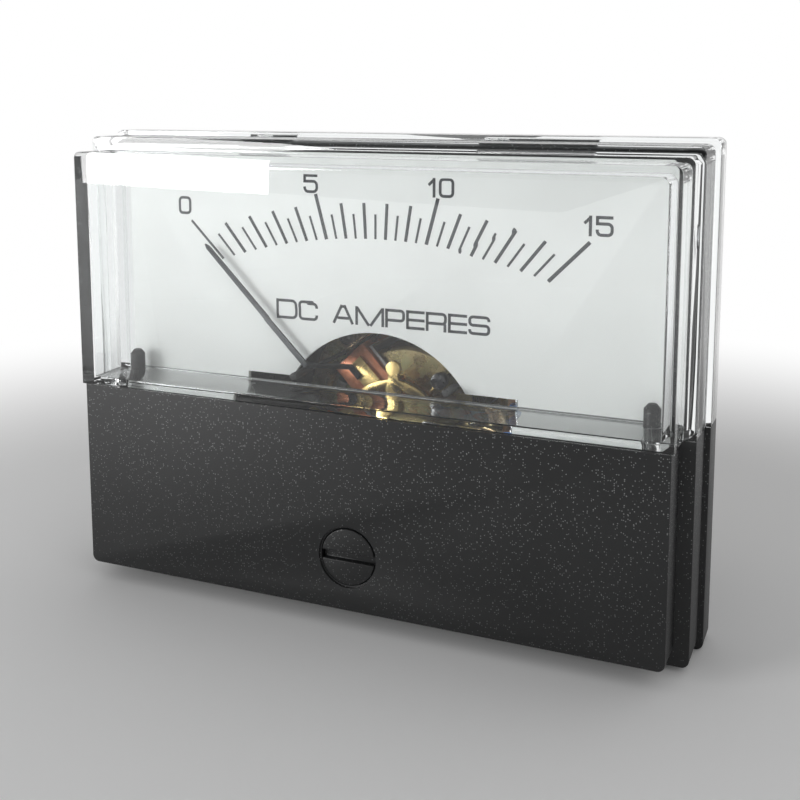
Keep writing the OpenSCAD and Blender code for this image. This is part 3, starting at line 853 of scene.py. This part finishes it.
@dataclass
class Dial:
    """The printed dial. Sizes are in millimetres on the dial's face, about the pointer's axis.

    Attributes:
        base_rise: Height of the marks' inner line over the axis.
        base_sag: How fast that line falls with the square of the distance from the middle.
        step: Angle between two marks.
        half_steps: Marks on each side of the middle one.
        ink: How far the print stands off the dial.
        numerals: Each number with its left edge and its baseline.
        figure_gap: Space between two figures.
        legend: The unit's name.
        legend_at: Its left edge and its baseline.
        letter_gap: Space between two letters.
        word_gap: Space between two words.
    """

    base_rise: float = 31.8
    base_sag: float = 0.0060
    step: float = 3.0
    half_steps: int = 15
    ink: float = 0.03
    numerals: tuple[tuple[str, float, float], ...] = (
        ("0", -35.8, 34.3), ("5", -12.4, 38.5), ("10", 8.45, 38.5), ("15", 32.15, 34.2))
    figure_gap: float = 0.55
    legend: str = "DC AMPERES"
    legend_at: tuple[float, float] = (-17.55, 18.5)
    letter_gap: float = 0.2
    word_gap: float = 2.3

    def __post_init__(self) -> None:
        """Read the dial's face and the axis from the frame."""
        lo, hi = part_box("dial_plate")
        self.face_y = lo.y
        hub_lo, hub_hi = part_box("core_magnet")
        self.axis = Vector(((hub_lo.x + hub_hi.x) / 2, self.face_y, (hub_lo.z + hub_hi.z) / 2))

    def inner_radius(self, angle: float) -> float:
        """Return the distance from the axis to a mark's inner end.

        Args:
            angle: The mark's clock angle in radians.
        """
        across = self.base_sag * math.sin(angle) ** 2
        if across < 1e-9:
            return self.base_rise
        cosine = math.cos(angle)
        return (math.sqrt(cosine * cosine + 4 * across * self.base_rise) - cosine) / (2 * across)

    def mark_size(self, index: int) -> tuple[float, float]:
        """Return a mark's length and width.

        Args:
            index: The mark's number from the left.
        """
        out = (abs(index - self.half_steps) / self.half_steps) ** 2
        if index % 10 == 0:
            return 7.1 + 1.4 * out, 0.4 if index == 0 else 0.56
        if index % 2 == 0:
            return 5.5 + 0.5 * out, 0.5
        return 3.8 + 0.8 * out, 0.36

    def marks(self) -> bmesh.types.BMesh:
        """Return the scale's marks as thin bars."""
        bm = bmesh.new()
        for index in range(2 * self.half_steps + 1):
            angle = math.radians(self.step * (index - self.half_steps))
            length, width = self.mark_size(index)
            middle = self.inner_radius(angle) + length / 2
            place = (Matrix.Translation(self.axis) @ Matrix.Rotation(angle, 4, "Y")
                     @ Matrix.Translation(Vector((0, 0, middle)) * MM)
                     @ Matrix.Diagonal((width * MM, 2 * self.ink * MM, length * MM, 1)))
            bmesh.ops.create_cube(bm, size=1.0, matrix=place)
        return bm

    def lettering(self, words: str, left: float, base: float) -> bmesh.types.BMesh:
        """Return words as thin strokes on the dial.

        Args:
            words: What it says.
            left: Left edge of the first letter.
            base: Height of the baseline over the axis.

        Returns:
            The mesh.
        """
        bm = bmesh.new()
        tracking = self.figure_gap if words.isdigit() else self.letter_gap
        for sign in words:
            if sign == " ":
                left += self.word_gap
                continue
            width, strokes = Alphabet.glyph(sign)
            for stroke in strokes:
                Alphabet.draw(bm, stroke, left, base)
            left += width + tracking
        bmesh.ops.remove_doubles(bm, verts=bm.verts, dist=0.002)
        rim = bmesh.ops.extrude_face_region(bm, geom=bm.faces[:], use_keep_orig=True)
        lifted = [item for item in rim["geom"] if isinstance(item, bmesh.types.BMVert)]
        bmesh.ops.translate(bm, verts=lifted, vec=(0, 0, 2 * self.ink))
        bmesh.ops.recalc_face_normals(bm, faces=bm.faces)
        place = Matrix.Translation(self.axis) @ Matrix.Rotation(math.radians(90), 4, "X") @ Matrix.Scale(MM, 4)
        bmesh.ops.transform(bm, matrix=place @ Matrix.Translation((0, 0, -self.ink)), verts=bm.verts)
        return bm

    def build(self, shop: Workshop) -> None:
        """Build the dial and its print.

        Args:
            shop: Where pieces are made.
        """
        shop.softened("dial_plate", 0.12, 2)
        shop.softened("dial_screws", 0.12, 2)
        prints = [shop.piece("scale_marks", self.marks(), "case", Slot.ENAMEL)]
        for words, left, base in self.numerals:
            prints.append(shop.piece(f"numeral_{words}", self.lettering(words, left, base), "case", Slot.ENAMEL))
        shape = self.lettering(self.legend, *self.legend_at)
        prints.append(shop.piece("unit_legend", shape, "case", Slot.ENAMEL))
        for obj in prints:
            obj.data.materials.clear()
            obj.data.materials.append(shop.paint.print_ink)


@dataclass
class Movement:
    """The fixed part of the movement."""

    edge_mm: float = 0.12

    def build(self, shop: Workshop) -> None:
        """Build the movement.

        Args:
            shop: Where pieces are made.
        """
        for node in ("yoke_ring", "yoke_screws", "core_magnet", "core_spacers", "movement_plate",
                     "movement_screws", "bridge_pillars", "front_bridge", "bridge_screws", "front_jewel_screw",
                     "rear_jewel_screw", "jewel_lock_nuts", "rear_spring_tag", "pointer_stops"):
            shop.softened(node, self.edge_mm, 2)
        shop.plain("rear_hairspring")


@dataclass
class MovingCoil:
    """The coil, its pivots, the balance and the pointer."""

    edge_mm: float = 0.1

    def build(self, shop: Workshop) -> None:
        """Build the moving coil.

        Args:
            shop: Where pieces are made.
        """
        for node in ("coil_former", "coil_winding", "balance_cross", "balance_weights"):
            shop.softened(node, self.edge_mm, 2)
        shop.softened("pointer", 0.08, 2)
        shop.plain("pivot_shafts")


@dataclass
class ZeroAdjuster:
    """The zero screw, its lever and the front hairspring."""

    edge_mm: float = 0.18

    def build(self, shop: Workshop) -> None:
        """Build the zero adjuster.

        Args:
            shop: Where pieces are made.
        """
        shop.softened("zero_adjust_screw", self.edge_mm, 3)
        shop.softened("zero_lever", 0.08, 2)
        shop.plain("front_hairspring")


@dataclass
class Circuit:
    """The tag board with its resistor, the rear terminals and the fixing studs.

    Attributes:
        edge_mm: Rounding on the edges.
        stud_edge: Rounding on the studs' edges.
        terminal_thread: Radius, pitch and start of the terminals' thread.
        fixing_thread: The same for the fixing studs.
        root_share: Depth of the core under the crest, as a share of the pitch.
        lead_in: How far ahead of the thread the core is thinned.
        bare_end: Length without a thread at the tip.
        ridge_share: Size of the ridge's section as a share of the pitch.
        ridge_shape: How that section is squeezed on each axis.
        turn_steps: Faces round one turn of the thread.
    """

    edge_mm: float = 0.15
    stud_edge: float = 0.08
    terminal_thread: tuple[float, float, float] = (2.5, 0.8, 39.0)
    fixing_thread: tuple[float, float, float] = (1.5, 0.5, 0.4)
    root_share: float = 0.385
    lead_in: float = 0.2
    bare_end: float = 0.5
    ridge_share: float = 0.62
    ridge_shape: tuple[float, float, float] = (0.62, 0.84, 1.0)
    turn_steps: int = 24

    def build(self, shop: Workshop) -> None:
        """Build the circuit and the terminals.

        Args:
            shop: Where pieces are made.
        """
        for node in ("tag_board", "tag_board_screw", "shunt_bar", "terminal_nuts", "terminal_washers"):
            shop.softened(node, self.edge_mm, 2)
        for node in ("calibration_resistor", "resistor_leads"):
            shop.plain(node)
        self.threaded(shop, "terminal_studs", *self.terminal_thread)
        self.threaded(shop, "fixing_studs", *self.fixing_thread)

    def threaded(self, shop: Workshop, node: str, radius: float, pitch: float, start: float) -> None:
        """Cut a helical thread into the free end of a node's studs.

        Args:
            shop: Where pieces are made.
            node: The studs.
            radius: Outer radius of the thread in millimetres.
            pitch: Its pitch.
            start: Where it starts along Y.
        """
        bm = shop.merged(node)
        end = max(vert.co.y for vert in bm.verts)
        reach = 3 * radius * MM
        tips: list[Vector] = []
        for vert in bm.verts:
            if vert.co.y >= end - NEAR and all((vert.co - tip).length >= reach for tip in tips):
                tips.append(vert.co.copy())
        groups = [[vert.co for vert in bm.verts if vert.co.y > end - NEAR and (vert.co - tip).length < reach]
                  for tip in tips]
        middles = [sum(group, Vector()) / len(group) for group in groups]
        root = self.root_share * pitch * MM
        for vert in bm.verts:
            if vert.co.y < (start - self.lead_in) * MM or vert.co.y > end - NEAR:
                continue
            middle = min(middles, key=lambda one, here=vert.co: (one - here).xz.length)
            away = Vector((vert.co.x - middle.x, 0, vert.co.z - middle.z))
            if abs(away.length - radius * MM) < 10 * NEAR:
                vert.co -= away.normalized() * root
        edges = [edge for edge in bm.edges if edge.is_manifold and edge.calc_face_angle() > math.radians(30)]
        bmesh.ops.bevel(bm, geom=edges, offset=self.stud_edge * MM, offset_type="OFFSET", segments=2, profile=0.5,
                        affect="EDGES", clamp_overlap=True, material=-1)
        bmesh.ops.remove_doubles(bm, verts=bm.verts, dist=NEAR)
        turns = int((end / MM - self.bare_end - start) / pitch)
        for middle in middles:
            ridge = bmesh.ops.create_circle(bm, segments=3, radius=self.ridge_share * pitch * MM)["verts"]
            bmesh.ops.rotate(bm, verts=ridge, cent=(0, 0, 0), matrix=Matrix.Rotation(math.radians(-90), 3, "Z"))
            bmesh.ops.scale(bm, verts=ridge, vec=self.ridge_shape)
            tip = max(vert.co.x for vert in ridge)
            bmesh.ops.translate(bm, verts=ridge, vec=(middle.x + radius * MM - tip, start * MM, middle.z))
            loop = {edge for vert in ridge for edge in vert.link_edges}
            bmesh.ops.spin(bm, geom=[*ridge, *loop], cent=middle, axis=(0, 1, 0),
                           dvec=(0, pitch * MM / self.turn_steps, 0), angle=turns * math.tau,
                           steps=self.turn_steps * turns, use_duplicate=False)
        bmesh.ops.holes_fill(bm, edges=[edge for edge in bm.edges if edge.is_boundary], sides=0)
        bmesh.ops.recalc_face_normals(bm, faces=bm.faces)
        shop.piece(f"{node}_threaded", bm, shop.body_of(node), shop.slot_of(node), replaces=(node,))


@dataclass
class Studio:
    """Camera, lamps, world and floor.

    Attributes:
        eye: The camera's place.
        aim: The camera's turn in degrees.
        lens: Focal length on a 36 mm sensor.
        rise: Vertical shift.
        lamps: Each lamp's name, place, side and power in watts.
        fade: Distances from the middle between which the floor turns to plain white.
    """

    eye: tuple[float, float, float] = (0.07097, -0.16472, 0.04309)
    aim: tuple[float, float, float] = (82.161, 0.054, 23.277)
    lens: float = 50.49
    rise: float = -0.1875
    lamps: tuple[tuple[str, tuple[float, float, float], float, float], ...] = (
        ("key", (-0.5, -0.52, 0.14), 0.26, 2.3), ("fill", (0.42, -0.4, 0.36), 0.5, 0.5))
    fade: tuple[float, float] = (0.09, 0.22)

    def camera(self) -> None:
        """Set up the camera."""
        data = bpy.data.cameras.new("camera")
        data.lens = self.lens
        data.sensor_width = 36.0
        data.shift_y = self.rise
        data.clip_start = 0.01
        obj = bpy.data.objects.new("camera", data)
        obj.location = self.eye
        obj.rotation_euler = [math.radians(angle) for angle in self.aim]
        bpy.context.scene.collection.objects.link(obj)
        bpy.context.scene.camera = obj

    def lamp(self, name: str, place: Vector, size: float, power: float) -> None:
        """Add a square lamp that faces the object.

        Args:
            name: The lamp's name.
            place: Where it stands.
            size: Its side.
            power: Its power in watts.
        """
        data = bpy.data.lights.new(name, "AREA")
        data.size = size
        data.energy = power
        obj = bpy.data.objects.new(name, data)
        obj.location = place
        obj.rotation_euler = (-place).to_track_quat("-Z", "Y").to_euler()
        bpy.context.scene.collection.objects.link(obj)

    def world(self) -> None:
        """Set up a surround that the camera sees as white and that lights and mirrors darker from the front."""
        world = bpy.data.worlds.new("surround")
        world.use_nodes = True
        world.node_tree.nodes.clear()
        board = NodeBoard(world.node_tree)
        place = board.add("ShaderNodeTexCoord")
        axes = board.add("ShaderNodeSeparateXYZ", Vector=place.outputs["Generated"])
        soft = board.ramp(axes.outputs["Y"], -0.35, 0.55, 0.26, 0.62)
        mirrored = board.ramp(axes.outputs["Y"], -0.25, 0.45, 0.05, 0.85)
        through = board.ramp(axes.outputs["Y"], -0.35, 0.4, 0.36, 1.0)
        path = board.add("ShaderNodeLightPath")
        level = board.mix_value(path.outputs["Is Glossy Ray"], soft, mirrored)
        level = board.mix_value(path.outputs["Is Transmission Ray"], level, through)
        level = board.math("MAXIMUM", level, path.outputs["Is Camera Ray"])
        shade = board.add("ShaderNodeBackground", Color=(1, 1, 1, 1), Strength=level)
        output = board.add("ShaderNodeOutputWorld")
        board.tree.links.new(shade.outputs[0], output.inputs[0])
        bpy.context.scene.world = world

    def floor(self, height: float) -> None:
        """Lay a pale floor that turns to plain white away from the object.

        Args:
            height: Where the object stands.
        """
        bm = bmesh.new()
        bmesh.ops.create_grid(bm, x_segments=8, y_segments=8, size=3.0)
        bmesh.ops.translate(bm, verts=bm.verts, vec=(0, 0, height - 0.00002))
        mesh = bpy.data.meshes.new("floor")
        bm.to_mesh(mesh)
        bm.free()
        obj = bpy.data.objects.new("floor", mesh)
        bpy.context.scene.collection.objects.link(obj)
        material = bpy.data.materials.new("floor")
        material.use_nodes = True
        material.node_tree.nodes.clear()
        board = NodeBoard(material.node_tree)
        place = board.add("ShaderNodeTexCoord")
        flat = board.add("ShaderNodeVectorMath", set_operation="MULTIPLY", i0=place.outputs["Object"], i1=(1, 1, 0))
        far = board.add("ShaderNodeVectorMath", set_operation="LENGTH", i0=flat.outputs[0])
        fade = board.ramp(far.outputs["Value"], *self.fade)
        matt = board.add("ShaderNodeBsdfDiffuse", Color=(0.9, 0.9, 0.9, 1.0))
        white = board.add("ShaderNodeEmission", Color=(1, 1, 1, 1), Strength=1.0)
        mix = board.add("ShaderNodeMixShader", i0=fade, i1=matt.outputs[0], i2=white.outputs[0])
        output = board.add("ShaderNodeOutputMaterial")
        board.tree.links.new(mix.outputs[0], output.inputs[0])
        mesh.materials.append(material)
        obj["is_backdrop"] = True

    def build(self, floor_z: float) -> None:
        """Set up the studio.

        Args:
            floor_z: Height of the floor.
        """
        self.camera()
        self.world()
        self.floor(floor_z)
        for name, place, size, power in self.lamps:
            self.lamp(name, Vector(place), size, power)
        bpy.context.scene.view_settings.view_transform = "Standard"


def main() -> None:
    """Build the dressed meter."""
    logging.basicConfig(level=logging.INFO, format="%(message)s")
    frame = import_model()
    cad_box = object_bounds()
    shop = Workshop(frame, Paintbox())
    Studio().build(cad_box[0].z)
    for assembly in (Case(), Dial(), Movement(), MovingCoil(), ZeroAdjuster(), Circuit()):
        assembly.build(shop)


if __name__ == "__main__":
    main()
